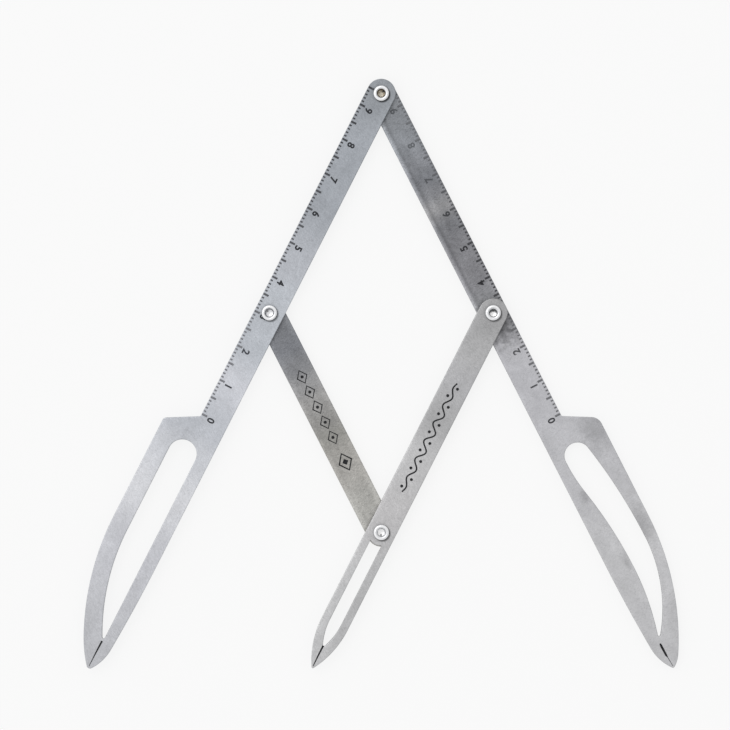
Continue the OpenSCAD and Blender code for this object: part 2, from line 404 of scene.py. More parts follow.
def surface(tree, colour, rough, height, relief, metal=1.0, shine=0.5):
    # the end of each material: relief is the strength and the depth of its fine bumps
    bump = node(tree, "ShaderNodeBump", {
        "Strength": relief[0], "Distance": relief[1], "Height": height})
    shader = node(tree, "ShaderNodeBsdfPrincipled", {
        "Base Color": colour, "Metallic": metal, "Roughness": rough,
        "Specular IOR Level": shine, "Normal": bump.outputs["Normal"]})
    node(tree, "ShaderNodeOutputMaterial", {"Surface": shader.outputs[0]})


def barCoordinates(tree, place):
    # Object coordinates turned into the bar's own frame, in mm
    turn = -math.atan2(place[1][0], place[0][0])
    hinge = at(place[0][3], place[1][3]) / mm
    shift = Matrix.Rotation(turn, 2) @ -hinge
    source = node(tree, "ShaderNodeTexCoord")
    return node(tree, "ShaderNodeMapping", {
        "Vector": source.outputs["Object"], "Scale": (1000, 1000, 1000),
        "Rotation": (0, 0, turn), "Location": (shift.x, shift.y, 0)}).outputs["Vector"]


patterns = {
    # scale, detail, roughness and distortion of each noise. Then how it is drawn out along the
    # bar, less being longer, or across a line that is turned by so many degrees.
    "clouds": (0.17, 4, 0.62, 0.8, 0.7, 0),
    "streaks": (1.0, 4, 0.7, 0.5, 0.25, 35),
    "brushing": (6.0, 3, 0.7, 0.0, 0.06, 8),
    "grain": (2.6, 3, 0.75, 0.0, 1, 0),
    "hairlines": (0.5, 1, 0.4, 0.3, 0.12, 12),
    "crossHairlines": (0.35, 1, 0.4, 0.3, 0.12, -38),
    "ragged": (0.8, 3, 0.6, 0.0, 1, 0),
    "polish": (2.0, 3, 0.6, 0.0, 0.1, 0),
    "inkWear": (1.1, 3, 0.7, 0.0, 1, 0),
    "inkPits": (9, 2, 0.5, 0.0, 1, 0),
    "hollowDirt": (2.6, 3, 0.6, 0.0, 1, 0),
    "smudges": (0.9, 3, 0.6, 0.0, 1, 0),
    "rivetPolish": (2500, 3, 0.6, 0.0, 1, 0),   # this one and the next are in metres
    "washerStain": (900, 3, 0.6, 0.0, 1, 0),
}


def bareNoise(tree, vector, kind):
    scale, detail, rough, distortion, along, turn = patterns[kind]
    if along != 1:
        vector = node(tree, "ShaderNodeMapping", {
            "Vector": vector, "Scale": (along, 1, 1), "Rotation": (0, 0, math.radians(turn))},
            vector_type="TEXTURE" if turn else "POINT").outputs["Vector"]
    return node(tree, "ShaderNodeTexNoise", {
        "Vector": vector, "Scale": scale, "Detail": detail, "Roughness": rough,
        "Distortion": distortion}).outputs["Fac"]


def noise(tree, vector, kind, low=0.0, high=1.0):
    # the bare noise keeps mostly between a quarter and three quarters
    return spread(tree, bareNoise(tree, vector, kind), 0.25, 0.75, low, high)


def ramp(tree, value, low, high, stops, interpolation="LINEAR"):
    # a colour ramp whose stops lie between low and high
    made = node(tree, "ShaderNodeValToRGB", {"Fac": spread(tree, value, low, high)})
    made.color_ramp.interpolation = interpolation
    elements = made.color_ramp.elements
    while len(elements) < len(stops):
        elements.new(0.5)
    for element, (place, colour) in zip(elements, stops):
        element.position = (place - low) / (high - low)
        element.color = colour
    return made.outputs["Color"]


def spot(tree, vector, centre, sizing, inner, outer, share, ragged=0.0):
    # share inside an oval about centre and one outside it, with a soft rim
    off = vectorCalc(tree, "MULTIPLY", vectorCalc(tree, "SUBTRACT", vector, centre), sizing)
    away = calc(tree, "ADD", vectorCalc(tree, "LENGTH", off), ragged)
    return spread(tree, away, inner, outer, share, 1.0, soft=True)


# the rivets whose rolled ends lie on each bar, and how dark the painted shadow at their lower right
# is
hingesOf = {"left_leg": [(topHinge, 0.22), (leftHinge, 0.4)],
            "centre_leg": [(rightHinge, 0.42), (centreHinge, 0.4)],
            "right_leg": [], "left_link": []}
steelFinishes = {
    # along: tone seen at a distance from the first hinge, in mm, with painted shade and painted
    # reflection of darker surroundings laid into it. across: brightness at a distance from the
    # middle line, outwards, with painted highlights along the rounded edges and painted shade in
    # strips beside them. clouds, streaks and scratches: how strong each is. The soft places:
    # darker or lighter patches, some of them painted shadows cast by the bars in front, each with
    # its place along and across, its length and width and its brightness. blade: how much of the
    # mottling, and of the change across, is left beyond the scale.
    "left_leg": {
        "along": [(0, (151, 155, 160)), (12, (159, 163, 169)), (32, (160, 164, 170)),
                  (50, (181, 184, 190)), (60, (186, 190, 196)), (74, (180, 184, 190)),
                  (84, (202, 204, 210)), (98, (187, 190, 196)), (106, (198, 200, 205)),
                  (118, (209, 210, 214)), (134, (196, 197, 202)), (160, (191, 192, 196))],
        "across": [(-3.75, 1.1), (-3.3, 1.02), (-2.7, 1.0), (2.8, 0.99), (3.75, 0.96),
                   (12.1, 1.05)],
        "clouds": 0.1, "streaks": 0.15, "scratches": 0.12, "blade": (0.9, 1.0),
        "patchesAndShadows": [(99, 7, 9, 7, 0.95), (134, 9, 9, 4, 0.97), (4, 0, 6, 4, 0.94),
                   (24, -2, 7, 3, 0.98)]},
    "right_leg": {
        "along": [(0, (140, 143, 147)), (14, (140, 143, 148)), (21, (137, 139, 144)),
                  (25, (125, 127, 132)), (29, (133, 134, 138)), (33, (152, 152, 154)),
                  (38, (133, 134, 138)), (45, (137, 137, 141)), (54, (144, 144, 148)),
                  (62, (156, 157, 160)), (72, (186, 186, 190)), (84, (189, 189, 193)),
                  (110, (192, 192, 195)), (136, (199, 199, 201)), (160, (197, 197, 199))],
        "across": [(-3.75, 1.65), (-3.2, 1.25), (-2.6, 0.76), (-1.8, 0.93), (2.5, 1.0),
                   (3.75, 0.97), (12.1, 0.95)],
        "clouds": 0.22, "streaks": 0.22, "scratches": 0.3, "blade": (0.5, 0.05),
        # the darkest soft place, at 67 mm, is a painted shadow cast by the centre leg over this leg
        "patchesAndShadows": [(103, 10, 7, 5, 0.75), (130, 9.5, 7, 3, 0.8), (19, -1.5, 7, 2.2, 0.95),
                   (25, 0.5, 5, 3, 0.93), (67, 0, 8, 7, 0.33), (117, -0.5, 2.5, 1.6, 0.78),
                   (3, -3, 5, 3, 0.7), (38, 0.8, 5, 2, 0.87), (137, 1.5, 3, 1.2, 0.85),
                   (32, -1.8, 3.5, 1.8, 1.13), (130, -2, 6, 2, 0.95)]},
    "centre_leg": {
        "along": [(0, (170, 170, 171)), (10, (175, 175, 176)), (20, (180, 180, 182)),
                  (30, (176, 176, 177)), (42, (196, 196, 197)), (58, (195, 194, 195)),
                  (75, (195, 195, 196)), (95, (194, 194, 195))],
        "across": [(-3.75, 0.96), (-2.8, 0.99), (2.4, 1.0), (3.3, 1.05), (3.75, 1.1)],
        "clouds": 0.09, "streaks": 0.15, "scratches": 0.14, "blade": (1.0, 1.0),
        "patchesAndShadows": [(30, 0, 6, 4, 0.93), (3, -1, 5, 4, 0.92), (79, -2.6, 22, 2, 0.89),
                   (91, 2.6, 8, 1.4, 1.09)]},
    "left_link": {
        "along": [(0, (137, 139, 143)), (10, (129, 131, 136)), (16, (135, 136, 139)),
                  (21, (153, 153, 154)), (26, (157, 156, 155)), (31, (151, 150, 148)),
                  (36, (156, 155, 151)), (41, (171, 169, 165)), (47, (176, 174, 170)),
                  (54, (184, 183, 179))],
        "across": [(-3.75, 1.16), (-3.0, 1.08), (-2.4, 0.96), (2.2, 0.98), (2.9, 1.07),
                   (3.75, 1.14)],
        "clouds": 0.17, "streaks": 0.22, "scratches": 0.3, "blade": (1.0, 1.0),
        # the soft place at 63 mm is a painted shadow under the end of the centre leg
        "patchesAndShadows": [(2, 0, 5, 4, 0.78), (14, 1, 5, 3, 0.93), (63, 0, 5, 5, 0.85)]},
}
steelLook = {
    "grain": 0.12,              # how strong the fine grain is, and the fine brushing
    "brushing": 0.035,
    "hairWidth": (0.004, 0.02), # of the scratches, in parts of their noise
    "acrossReach": (-4.0, 12.2),    # mm from the middle line
    "bladeFrom": (58.0, 78.0),  # mm from the hinge, where the blade's calmer finish sets in
    "roughness": (0.38, 0.50),
    "relief": (0.5, 0.00002),   # strength, and depth in metres
    "raggedness": 0.3,          # of the soft patches' rims, some of them painted shadows
    # soft rim of the darker or lighter patches, painted shadows among them
    "patchRim": (0.1, 1.2),
    "cutEdgeShade": 0.22,            # brightness of the cut edges, painted dark so that their reflection lays a painted contact shadow line on the bar beside them
    "cutRim": (0.3, 0.44),      # mm from the middle of the sheet, from cut edge to face
    # painted shadows under the rolled rivet ends, a darker crescent to the lower right and a faint
    # halo of shade all round: shift to the lower right, inner and outer radius
    "rivetCrescentShadow": (0.3, 1.88, 2.3),
    "halo": (0.0, 2.0, 2.8), "haloShare": 0.86,
}


def hairlines(tree, vector, kind, strength):
    # a few long fine scratches: where a drawn out noise crosses its middle value
    gap = calc(tree, "ABSOLUTE", calc(tree, "SUBTRACT", bareNoise(tree, vector, kind), 0.5))
    return spread(tree, gap, *steelLook["hairWidth"], 1 - strength, 1.0)


def steel(name):
    finish, look = steelFinishes[name], steelLook
    material, tree = newMaterial(name + "_steel")
    vector = barCoordinates(tree, places[name])
    if places[name].determinant() < 0:      # a bar that lies mirrored has outwards the other way
        vector = vectorCalc(tree, "MULTIPLY", vector, (1, -1, 1))
    parts = node(tree, "ShaderNodeSeparateXYZ", {"Vector": vector}).outputs
    # the tone along the bar carries painted shade and painted reflection, and the brightness across
    # it carries painted highlights on the rounded edges with painted shade beside them
    along = ramp(tree, parts["X"], 0.0, legLength,
                 [(place, tone(*colour)) for place, colour in finish["along"]], "EASE")
    across = ramp(tree, parts["Y"], *look["acrossReach"],
                  [(place, (f, f, f, 1.0)) for place, f in finish["across"]])
    mottling, banding = (spread(tree, parts["X"], *look["bladeFrom"], 1.0, left, soft=True)
                         for left in finish["blade"])
    clouds, streaks, brushed, grain = (
        noise(tree, vector, kind, 1 - strength, 1 + strength) for kind, strength in (
            ("clouds", finish["clouds"]), ("streaks", finish["streaks"]),
            ("brushing", look["brushing"]), ("grain", look["grain"])))
    scratches = times(tree, hairlines(tree, vector, "hairlines", finish["scratches"]),
                      hairlines(tree, vector, "crossHairlines", finish["scratches"]))
    shade = times(tree, times(tree, clouds, streaks), times(tree, brushed, grain))
    shade = node(tree, "ShaderNodeMix", {
        0: mottling, 2: 1.0, 3: times(tree, shade, scratches)}, data_type="FLOAT").outputs[0]
    ragged = noise(tree, vector, "ragged", -look["raggedness"], look["raggedness"])
    # soft darker or lighter patches, some of them painted shadows of the bars in front
    for u, v, length, width, share in finish["patchesAndShadows"]:
        shade = times(tree, shade, spot(tree, vector, (u, v, 0), (1 / length, 1 / width, 0),
                                        *look["patchRim"], share, ragged))
    # the cut edges are painted darker than the faces: a little for the greyer cut steel, mostly so
    # that their reflection darkens the bar beside them like a contact shadow
    level = calc(tree, "SUBTRACT", parts["Z"], topOf[name] - linkage["sheet"] / 2)
    shade = times(tree, shade, spread(tree, calc(tree, "ABSOLUTE", level), *look["cutRim"],
                                      look["cutEdgeShade"], 1.0, soft=True))
    source = node(tree, "ShaderNodeTexCoord").outputs["Object"]
    # painted shadow of each rolled rivet end on the bar, to the lower right, and a faint painted
    # halo of shade round it
    for hinge, crescentShadeShare in hingesOf[name]:
        for ring, share in (("rivetCrescentShadow", crescentShadeShare), ("halo", look["haloShare"])):
            shift, inner, outer = look[ring]
            centre = ((hinge.x + shift) * mm, (hinge.y - shift) * mm, 0)
            shade = times(tree, shade, spot(
                tree, source, centre, (1000, 1000, 0), inner, outer, share))
    # the colour: tone along times brightness across, both with painted light and shade in them,
    # times the mottling, the patches and the painted shadows
    colour = blend(tree, 1.0, blend(tree, banding, along, across, "MULTIPLY"), shade, "MULTIPLY")
    rough = noise(tree, vector, "polish", *look["roughness"])
    surface(tree, colour, rough, grain, look["relief"])
    return material


for name, (_, outline, windows) in bars.items():
    mesh = cutSheet(name + "_cut", [outline, hole(0), hole(hingeGap)] + windows,
                    places[name], topOf[name])
    bar = addPiece(name + "_bar", mesh, name, steel(name))
    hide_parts(name)
print("bars cut")


etch = {
    "height": 0.03,             # of the oxide, in mm
    "worn": (96, 97, 101),      # tone where it is worn
    "relief": (0.4, 0.00002), "roughness": 0.62, "shine": 0.1,
    "numberWear": 0.35,         # how patchy the scales, the tip lines and the ornaments are
    "tipWear": 0.2,
    "ornamentWear": 0.25,
}


def etched(name, place, stops, wear):
    # black oxide in a fine etch: stops give its tone along the bar, wear how patchy it is
    material, tree = newMaterial(name)
    vector = barCoordinates(tree, place)
    along = node(tree, "ShaderNodeSeparateXYZ", {"Vector": vector}).outputs["X"]
    black = ramp(tree, along, 0.0, legLength, [(u, tone(*ink)) for u, ink in stops])
    colour = blend(tree, noise(tree, vector, "inkWear", 0.0, wear), black, tone(*etch["worn"]))
    surface(tree, colour, etch["roughness"], noise(tree, vector, "inkPits"), etch["relief"],
            metal=0.0, shine=etch["shine"])
    return material


def newTree(name, sizes):
    # a node tree with an input for each size, under the size's own name, and one for the finish
    tree = bpy.data.node_groups.new(name, "GeometryNodeTree")
    tree.interface.new_socket("Geometry", in_out="OUTPUT", socket_type="NodeSocketGeometry")
    kinds = {int: "Int", float: "Float", tuple: "Vector", type(None): "Object"}
    for label, value in sizes.items():
        socket = tree.interface.new_socket(
            label, in_out="INPUT", socket_type="NodeSocket" + kinds[type(value)])
        if value is not None:
            socket.default_value = value
    tree.interface.new_socket("finish", in_out="INPUT", socket_type="NodeSocketMaterial")
    return tree, node(tree, "NodeGroupInput").outputs


def finishTree(tree, shapes, given):
    joined = node(tree, "GeometryNodeJoinGeometry")
    for shape in shapes:
        tree.links.new(shape, joined.inputs[0])
    real = node(tree, "GeometryNodeRealizeInstances", {"Geometry": joined.outputs[0]})
    done = node(tree, "GeometryNodeSetMaterial", {
        "Geometry": real.outputs[0], "Material": given["finish"]})
    node(tree, "NodeGroupOutput", {0: done.outputs[0]})
    return tree


def grow(name, tree, values, matrix):
    # runs a node tree on an empty mesh and keeps its result as a plain mesh
    maker = addObject(name, bpy.data.meshes.new(name))
    modifier = maker.modifiers.new("grow", "NODES")
    modifier.node_group = tree
    for item in tree.interface.items_tree:
        if item.in_out == "INPUT" and item.name in values:
            modifier[item.identifier] = values[item.name]
    return settled(maker, matrix)


def inkStrip(tree, curve, line, given):
    section = node(tree, "GeometryNodeCurvePrimitiveQuadrilateral", {
        "Width": line, "Height": given["inkHeight"]}, mode="RECTANGLE")
    return node(tree, "GeometryNodeCurveToMesh", {
        "Curve": curve, "Profile Curve": section.outputs[0], "Fill Caps": True}).outputs[0]


def row(tree, count, start, step):
    # points along the bar
    return node(tree, "GeometryNodeMeshLine", {
        "Count": count, "Start Location": start, "Offset": xyz(tree, step)},
        mode="OFFSET").outputs[0]


def copies(tree, points, shape, **more):
    return node(tree, "GeometryNodeInstanceOnPoints", {
        "Points": points, "Instance": shape, **more}).outputs[0]


ticks = {
    "count": 96,            # one each millimetre, from the hinge outwards
    "pitch": 1.0,
    "longEvery": 5,
    "shortReach": 0.8,      # from the edge inwards
    "longReach": 1.6,
    "rimGap": 0.12,         # bare rim at the foot of each tick
    "shortWidth": 0.4,
    "longWidth": 0.54,
}
digits = {
    "height": 1.9,
    "heightShare": 0.73,    # of a digit's height in the font's size
    "middle": 2.8,          # from the edge inwards
    "shift": 0.55,          # along the bar, past the tick it belongs to
    "boldness": 0.09,
    "curveSteps": 6,
}
scaleInk = {    # the tone of the numbers at a distance from the hinge, in mm
    "left_leg": [(0, (38, 39, 43)), (26, (42, 43, 47)), (52, (34, 35, 39)), (66, (40, 41, 45)),
                 (78, (72, 74, 80)), (96, (48, 49, 53))],
    "right_leg": [(0, (90, 92, 96)), (14, (106, 109, 113)), (26, (84, 86, 90)),
                  (34, (64, 66, 69)), (42, (36, 36, 39)), (60, (36, 36, 39)),
                  (70, (70, 70, 73)), (78, (92, 92, 95)), (96, (62, 62, 65))],
}
freshInk = [(0, (26, 26, 28)), (100, (26, 26, 28))]
tickInk = {     # the ticks are fainter than the numbers
    "left_leg": [(0, (66, 67, 71)), (28, (74, 75, 79)), (40, (92, 93, 97)), (60, (96, 97, 101)),
                 (70, (136, 137, 142)), (96, (134, 135, 140))],
    "right_leg": [(0, (116, 118, 122)), (16, (118, 120, 124)), (26, (101, 102, 106)),
                  (34, (88, 89, 92)), (44, (64, 64, 67)), (58, (66, 66, 69)), (70, (114, 114, 117)),
                  (96, (118, 118, 121))],
}


def tickBody(tree, kind, given):
    # a thin strip on the bar, from its reach to just short of the rounded rim
    start, end = (xyz(tree, 0.0, calc(tree, "SUBTRACT", inset, given["halfWidth"]), given["top"])
                  for inset in (given[kind + "Reach"], given["rimGap"]))
    line = node(tree, "GeometryNodeCurvePrimitiveLine", {"Start": start, "End": end})
    return inkStrip(tree, line.outputs[0], given[kind + "Width"], given)


def ticksTree():
    tree, given = newTree("scale_ticks", {
        **ticks, "inkHeight": etch["height"], "halfWidth": halfWidth, "top": frontTop})
    points = row(tree, given["count"], (0, 0, 0), given["pitch"])
    index = node(tree, "GeometryNodeInputIndex").outputs[0]
    left = calc(tree, "MODULO", index, given["longEvery"])
    isLong = node(tree, "FunctionNodeCompare", {0: left, 1: 0.5}, operation="LESS_THAN").outputs[0]
    isShort = node(tree, "FunctionNodeBooleanMath", {0: isLong}, operation="NOT").outputs[0]
    return finishTree(tree, [
        copies(tree, points, tickBody(tree, kind, given), Selection=chosen)
        for kind, chosen in (("short", isShort), ("long", isLong))], given)


def digitsMesh(name, readingSign, top, matrix):
    # the plain numbers 0 to 9 beside every tenth tick
    joined = bmesh.new()
    for digit in range(10):
        text = bpy.data.curves.new(name, "FONT")
        text.body = str(digit)
        text.align_x, text.align_y = "CENTER", "CENTER"
        text.size = digits["height"] / digits["heightShare"]
        text.offset = digits["boldness"]
        text.extrude = etch["height"] / 2
        text.resolution_u = digits["curveSteps"]
        where = (readingSign * (ticks["count"] - 1 - 10 * digit + digits["shift"]),
                 digits["middle"] - halfWidth, top)
        mesh = settled(addObject(name, text), Matrix.Translation(where))
        joined.from_mesh(mesh)
        bpy.data.meshes.remove(mesh)
    joined.transform(matrix)
    mesh = bpy.data.meshes.new(name)
    joined.to_mesh(mesh)
    joined.free()
    return mesh


# the numbers stand on the outer edge: on the left leg they read from the hinge, on the right
# leg towards it
readings = {
    "left_leg": (1, placing(topHinge, downLeft, (cosine, -sine))),
    "right_leg": (-1, placing(topHinge, (-sine, cosine), (-cosine, -sine))),
}
tree = ticksTree()
for name, (sign, matrix) in readings.items():
    ink, faint = (etched(name + label, places[name], tones[name], etch["numberWear"])
                  for label, tones in (("_ink", scaleInk), ("_tick_ink", tickInk)))
    mesh = grow(name + "_ticks", tree, {
        "pitch": sign * ticks["pitch"], "top": topOf[name], "finish": faint}, matrix)
    addPiece(name + "_ticks", mesh, name, faint)
    mesh = digitsMesh(name + "_numbers", sign, topOf[name], matrix)
    addPiece(name + "_numbers", mesh, name, ink)
print("scales etched")

tipLines = {
    # stations along the bar: distance from the hinge and from the middle line, and half width
    "left_leg": [(159.1, 0.05, 0.24), (161.5, 0.1, 0.2), (164.0, 0.12, 0.13),
                 (166.4, 0.1, 0.07)],
    "right_leg": [(159.8, -0.35, 0.2), (160.4, -0.35, 0.3), (163.2, -0.3, 0.28),
                  (163.9, -0.2, 0.08), (166.5, 0.0, 0.06)],
    "centre_leg": [(96.7, 0.1, 0.24), (99.5, 0.1, 0.2), (102.7, 0.05, 0.1)],
}


def tipLine(name, stations, top, matrix):
    # a flat line that narrows from station to station
    bm = bmesh.new()
    low, high = top - etch["height"], top + etch["height"] / 2
    rings = [[bm.verts.new((along, offset + y, z)) for y, z in (
        (-halfLine, low), (halfLine, low), (halfLine, high), (-halfLine, high))]
        for along, offset, halfLine in stations]
    for a, b in zip(rings, rings[1:]):
        for k in range(4):
            bm.faces.new((a[k], a[(k + 1) % 4], b[(k + 1) % 4], b[k]))
    bm.faces.new(rings[0])
    bm.faces.new(rings[-1])
    bm.transform(matrix)
    return closedMesh(bm, bpy.data.meshes.new(name))


for name, stations in tipLines.items():
    mesh = tipLine(name + "_tip_line", stations, topOf[name], places[name])
    ink = etched(name + "_line_ink", places[name], freshInk, etch["tipWear"])
    addPiece(name + "_tip_line", mesh, name, ink)
print("tips marked")

wave = {
    "start": 20.5, "length": 31.5,  # along the centre leg
    "turns": 6, "height": 0.95, "line": 0.4,
    "swell": 0.45,                  # how slowly it dies away at its ends: less is later
    "steps": 181,
    "dot": 0.4,                     # radius
    "dotHeight": 0.75,
}
lozenges = {
    "start": 18.6, "pitch": 4.4, "count": 5,  # along the link
    "length": 3.6, "width": 2.7, "line": 0.36,
    "dot": 0.42,
    "lastAt": 43.3, "lastSize": 1.3,          # a single larger one, apart from the row
    "lastFill": 0.85,                         # half the length of the full lozenge in it
}


def dots(tree, points, radius, given, sides=16):
    disc = node(tree, "GeometryNodeMeshCylinder", {
        "Vertices": sides, "Radius": radius, "Depth": given["inkHeight"]})
    return copies(tree, points, disc.outputs["Mesh"])


def moved(tree, shape, sideways):
    return node(tree, "GeometryNodeSetPosition", {
        "Geometry": shape, "Offset": xyz(tree, 0.0, sideways)}).outputs[0]


def waveTree():
    tree, given = newTree("etched_wave", {**wave, "top": frontTop, "inkHeight": etch["height"]})
    start, end = (xyz(tree, x, 0.0, given["top"]) for x in (
        given["start"], calc(tree, "ADD", given["start"], given["length"])))
    line = node(tree, "GeometryNodeCurvePrimitiveLine", {"Start": start, "End": end})
    fine = node(tree, "GeometryNodeResampleCurve", {
        "Curve": line.outputs[0], "Count": given["steps"]}, mode="COUNT")
    share = node(tree, "GeometryNodeSplineParameter").outputs["Factor"]
    angle = times(tree, times(tree, share, given["turns"]), 2 * math.pi)
    # the wave swells in the middle and dies away at both ends
    swell = calc(tree, "POWER", calc(tree, "SINE", times(tree, share, math.pi)), given["swell"])
    rise = times(tree, calc(tree, "SINE", angle), times(tree, given["height"], swell))
    strip = inkStrip(tree, moved(tree, fine.outputs[0], rise), given["line"], given)
    # one dot in each bay
    bays = times(tree, given["turns"], 2.0)
    step = calc(tree, "DIVIDE", given["length"], bays)
    first = calc(tree, "ADD", given["start"], times(tree, step, 0.5))
    points = row(tree, bays, xyz(tree, first, 0.0, given["top"]), step)
    odd = calc(tree, "MODULO", node(tree, "GeometryNodeInputIndex").outputs[0], 2.0)
    side = calc(tree, "SUBTRACT", times(tree, odd, 2.0), 1.0)
    points = moved(tree, points, times(tree, side, given["dotHeight"]))
    return finishTree(tree, [strip, dots(tree, points, given["dot"], given)], given)


def lozengeTree():
    tree, given = newTree("etched_lozenges", {
        **lozenges, "top": rearTop, "inkHeight": etch["height"]})
    diamond = node(tree, "GeometryNodeCurvePrimitiveCircle", {
        "Resolution": 4, "Radius": 0.5}, mode="RADIUS")
    sized = node(tree, "GeometryNodeTransform", {
        "Geometry": diamond.outputs[0],
        "Scale": xyz(tree, given["length"], given["width"], 1.0)})
    rim = inkStrip(tree, sized.outputs[0], given["line"], given)
    points = row(tree, given["count"], xyz(tree, given["start"], 0.0, given["top"]),
                 given["pitch"])
    last = node(tree, "GeometryNodePoints", {
        "Count": 1, "Position": xyz(tree, given["lastAt"], 0.0, given["top"])}).outputs[0]
    larger = xyz(tree, given["lastSize"], given["lastSize"], 1.0)
    return finishTree(tree, [
        copies(tree, points, rim), dots(tree, points, given["dot"], given),
        copies(tree, last, rim, Scale=larger),
        dots(tree, last, given["lastFill"], given, sides=4)], given)


# plain ornament, etched where the centre leg and the link would otherwise be bare
for name, label, tree in (
        ("centre_leg", "_wave", waveTree()), ("left_link", "_lozenges", lozengeTree())):
    ink = etched(name + label + "_ink", places[name], freshInk, etch["ornamentWear"])
    mesh = grow(name + label, tree, {"finish": ink}, places[name])
    addPiece(name + label, mesh, name, ink)
print("ornament etched")


rivet = {
    "headRadius": 2.5, "headHeight": 0.8, "headRound": 0.5,
    "shankRadius": 1.25, "hollowRadius": 0.95, "hollowDepth": 1.6, "hollowPoint": 0.25,
    "rollRadius": 2.1,
    "steps": 96,
    "sharpAngle": 38.0,     # degrees: edges sharper than this stay sharp
    "turnEach": 1.3,        # radians from one rivet to the next
}
rivetHinges = {"top_rivet": ("top_hinge", topHinge), "left_rivet": ("left_leg", leftHinge),
               "right_rivet": ("right_leg", rightHinge),
               "centre_rivet": ("centre_leg", centreHinge)}


def rivetProfile():
    r = rivet
    rollCentre = at((r["rollRadius"] + r["hollowRadius"]) / 2, frontTop)
    rim = at(r["headRadius"] - r["headRound"], r["headRound"])
    path = follow([at(0, 0), at(rim.x, 0)], (rim, at(r["headRadius"], rim.y)))
    path += [at(r["headRadius"], r["headHeight"]), at(r["shankRadius"], r["headHeight"]),
             at(r["shankRadius"], frontTop), at(r["rollRadius"], frontTop)]
    path = follow(path, (rollCentre, at(r["hollowRadius"], frontTop)))
    floorHeight = frontTop - r["hollowDepth"]
    return path + [at(r["hollowRadius"], floorHeight), at(0, floorHeight - r["hollowPoint"])]


def turnedMesh(name, profile):
    # turns a profile of radius and height about the upright axis
    bm = bmesh.new()
    turns = [2 * math.pi * k / rivet["steps"] for k in range(rivet["steps"])]
    rings = [[bm.verts.new((p.x * math.cos(t), p.x * math.sin(t), p.y)) for t in turns]
             if p.x else [bm.verts.new((0, 0, p.y))] * len(turns) for p in profile]
    for low, high in zip(rings, rings[1:]):
        for k in range(len(turns)):
            corners = (low[k - 1], low[k], high[k], high[k - 1])
            bm.faces.new(dict.fromkeys(corners))    # only three of them where it ends on the axis
    mesh = closedMesh(bm, bpy.data.meshes.new(name))
    mesh.shade_smooth()
    mesh.set_sharp_from_angle(angle=math.radians(rivet["sharpAngle"]))
    return mesh


def rivetTree():
    tree, given = newTree("rivet_on_hinge", {
        "rivet": None, "hinge": (0.0, 0.0, 0.0), "turn": 0.0})
    shape = node(tree, "GeometryNodeObjectInfo", {"Object": given["rivet"]}).outputs["Geometry"]
    point = node(tree, "GeometryNodePoints", {"Count": 1, "Position": given["hinge"]}).outputs[0]
    put = copies(tree, point, shape, Rotation=xyz(tree, 0.0, 0.0, given["turn"]))
    return finishTree(tree, [put], given)


# what is seen in each hollow: how far its dirt and painted shade reach, its lit and shaded tones,
# the painted light spot's place from its middle and its size, how blotchy it is, and a dark speck
# of painted shade and dirt with its place, radius and tone. Places and sizes are in mm.
rivetHollows = {
    "top_rivet": {"radius": 1.17, "light": (192, 186, 172), "dark": (126, 116, 100),
                  "lightAt": (-0.1, -0.1), "size": 0.6, "blotches": 0.9,
                  "speck": (0.55, 0.62, 0.32, 52)},
    "left_rivet": {"radius": 1.22, "light": (238, 238, 240), "dark": (150, 152, 156),
                   "lightAt": (0.2, -0.24), "size": 1.02, "blotches": 0.16,
                   "speck": (-0.52, 0.5, 0.3, 120)},
    "right_rivet": {"radius": 1.0, "light": (244, 244, 244), "dark": (92, 94, 96),
                    "lightAt": (0.06, -0.5), "size": 0.9, "blotches": 0.2,
                    "speck": (0.05, 0.55, 0.3, 80)},
    "centre_rivet": {"radius": 1.05, "light": (250, 250, 250), "dark": (214, 215, 217),
                     "lightAt": (-0.1, -0.05), "size": 0.9, "blotches": 0.3,
                     "speck": (-0.05, -0.72, 0.3, 130)},
}
plating = {
    "faces": ((250, 250, 251), (236, 237, 239)),    # clean and smudged
    # lip: painted grey shade on the inner slope of the rolled ring
    "lip": (222, 223, 225), "lipRadii": (1.3, 1.65),
    "foot": ((190, 191, 194), (96, 98, 102)),       # painted shade on the foot of the rolled ring, at the upper left and at the lower right
    "footRadii": (1.9, 2.06),
    "footWay": (0.35, -0.35, 0),                    # which way the painted shade on the foot darkens
    "footTurn": (-0.3, 0.75),                       # and from where to where
    "lightRim": (-0.25, 0.2), "speckRim": (-0.2, 0.12), "hollowRim": 0.09,
    "frontFrom": (0.0009, 0.0012),                  # metres: below, the head at the back is plain
    "roughness": (0.24, 0.36), "relief": (0.2, 0.00003),
}


